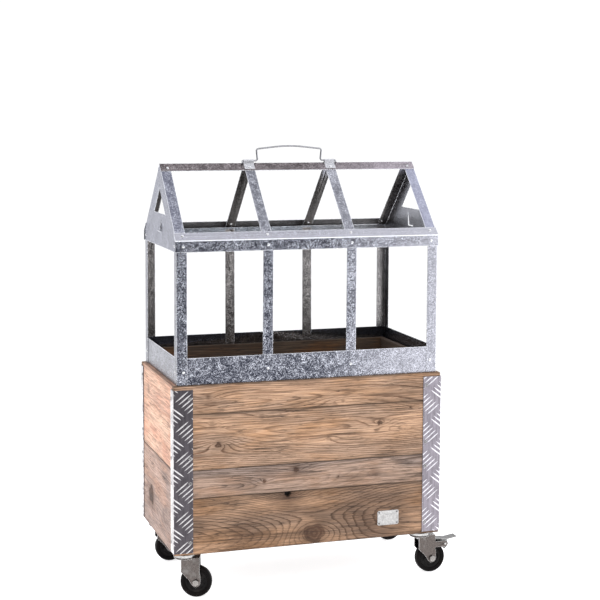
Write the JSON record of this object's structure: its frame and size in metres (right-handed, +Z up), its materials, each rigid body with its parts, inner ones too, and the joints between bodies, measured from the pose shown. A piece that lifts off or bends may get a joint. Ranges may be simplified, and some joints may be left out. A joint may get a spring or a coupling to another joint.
{
  "type": "plant trolley",
  "caption": "Reclaimed-wood planter box on swivel castors with tread-plate corners and a lift-off riveted galvanised greenhouse frame with a wire handle.",
  "frame": {"origin": "on the floor, midway along the overall length and depth", "axes": "+Z up, +X along the box towards the braked castors, front face towards -Y"},
  "size_m": [0.734, 0.366, 1.0625],
  "materials": {
    "wood_upper": "weathered plank, orange brown",
    "wood_lower": "weathered plank, grey brown",
    "wood_inner": "raw sawn",
    "tread_plate": "mill finish five-bar tread",
    "screw_steel": "dull zinc",
    "label_metal": "brushed",
    "zinc": "bright zinc plate",
    "galvanised": "galvanised spangle",
    "rivet_aluminium": "satin",
    "wire": "galvanised wire",
    "wheel_plastic": "moulded",
    "tyre": "smooth rubber",
    "pedal": "dull zinc plate"
  },
  "bodies": {
    "planter": {"front_board_1": "wood_upper", "front_board_2": "wood_upper", "front_board_3": "wood_lower", "front_board_4": "wood_lower", "back_board_1": "wood_upper", "back_board_2": "wood_upper", "back_board_3": "wood_lower", "back_board_4": "wood_lower", "left_end_board_1": "wood_upper", "left_end_board_2": "wood_lower", "right_end_board_1": "wood_upper", "right_end_board_2": "wood_lower", "lining_boards": "wood_inner", "corner_battens": "wood_inner", "floor_panel": "wood_inner", "corner_angle_front_left": "tread_plate", "corner_angle_front_right": "tread_plate", "corner_angle_back_left": "tread_plate", "corner_angle_back_right": "tread_plate", "corner_angle_screws": "screw_steel", "label_plate": "label_metal", "label_pins": "screw_steel", "castor_inserts": "zinc", "castor_cups": "zinc", "castor_balls": "zinc", "castor_washers": "zinc", "castor_stems": "zinc"},
    "greenhouse": {"skirt_sheets": "galvanised", "corner_posts": "galvanised", "mid_posts": "galvanised", "mid_rafters": "galvanised", "eave_strip_front": "galvanised", "eave_strip_back": "galvanised", "gable_left": "galvanised", "gable_right": "galvanised", "ridge_cap": "galvanised", "handle_clips": "galvanised", "greenhouse_rivets": "rivet_aluminium"},
    "handle": {"carry_handle": "wire"},
    "castor_front_left": {"castor_fork_front_left": "zinc", "castor_axle_front_left": "zinc"},
    "wheel_front_left": {"wheel_core_front_left": "wheel_plastic", "tyre_front_left": "tyre"},
    "castor_front_right": {"castor_fork_front_right": "zinc", "castor_axle_front_right": "zinc", "brake_pin_front_right": "zinc"},
    "wheel_front_right": {"wheel_core_front_right": "wheel_plastic", "tyre_front_right": "tyre"},
    "brake_front_right": {"brake_pedal_front_right": "pedal"},
    "castor_back_left": {"castor_fork_back_left": "zinc", "castor_axle_back_left": "zinc"},
    "wheel_back_left": {"wheel_core_back_left": "wheel_plastic", "tyre_back_left": "tyre"},
    "castor_back_right": {"castor_fork_back_right": "zinc", "castor_axle_back_right": "zinc", "brake_pin_back_right": "zinc"},
    "wheel_back_right": {"wheel_core_back_right": "wheel_plastic", "tyre_back_right": "tyre"},
    "brake_back_right": {"brake_pedal_back_right": "pedal"}
  },
  "joints": [
    {"name": "greenhouse_lift", "type": "slide", "parent": "planter", "child": "greenhouse", "axis": [0, 0, 1], "range_m": [0, 0.3]},
    {"name": "handle_swing", "type": "hinge", "parent": "greenhouse", "child": "handle", "pos_m": [-0.02999, 0, 1.0247], "axis": [-1, 0, 0], "range_deg": [0, 125]},
    {"name": "front_left_swivel", "type": "hinge", "parent": "planter", "child": "castor_front_left", "pos_m": [-0.32999, -0.14, 0.1], "axis": [0, 0, 1], "continuous": true},
    {"name": "front_left_roll", "type": "hinge", "parent": "castor_front_left", "child": "wheel_front_left", "pos_m": [-0.30368, -0.14958, 0.0375], "axis": [0.342, 0.9397, 0], "continuous": true},
    {"name": "front_right_swivel", "type": "hinge", "parent": "planter", "child": "castor_front_right", "pos_m": [0.27001, -0.14, 0.1], "axis": [0, 0, 1], "continuous": true},
    {"name": "front_right_roll", "type": "hinge", "parent": "castor_front_right", "child": "wheel_front_right", "pos_m": [0.29801, -0.14, 0.0375], "axis": [0, 1, 0], "continuous": true},
    {"name": "front_right_brake", "type": "hinge", "parent": "castor_front_right", "child": "brake_front_right", "pos_m": [0.33399, -0.14, 0.07105], "axis": [0, 1, 0], "range_deg": [0, 8]},
    {"name": "back_left_swivel", "type": "hinge", "parent": "planter", "child": "castor_back_left", "pos_m": [-0.32999, 0.14, 0.1], "axis": [0, 0, 1], "continuous": true},
    {"name": "back_left_roll", "type": "hinge", "parent": "castor_back_left", "child": "wheel_back_left", "pos_m": [-0.30199, 0.14, 0.0375], "axis": [0, 1, 0], "continuous": true},
    {"name": "back_right_swivel", "type": "hinge", "parent": "planter", "child": "castor_back_right", "pos_m": [0.27001, 0.14, 0.1], "axis": [0, 0, 1], "continuous": true},
    {"name": "back_right_roll", "type": "hinge", "parent": "castor_back_right", "child": "wheel_back_right", "pos_m": [0.29801, 0.14, 0.0375], "axis": [0, 1, 0], "continuous": true},
    {"name": "back_right_brake", "type": "hinge", "parent": "castor_back_right", "child": "brake_back_right", "pos_m": [0.33399, 0.14, 0.07105], "axis": [0, 1, 0], "range_deg": [0, 8]}
  ]
}
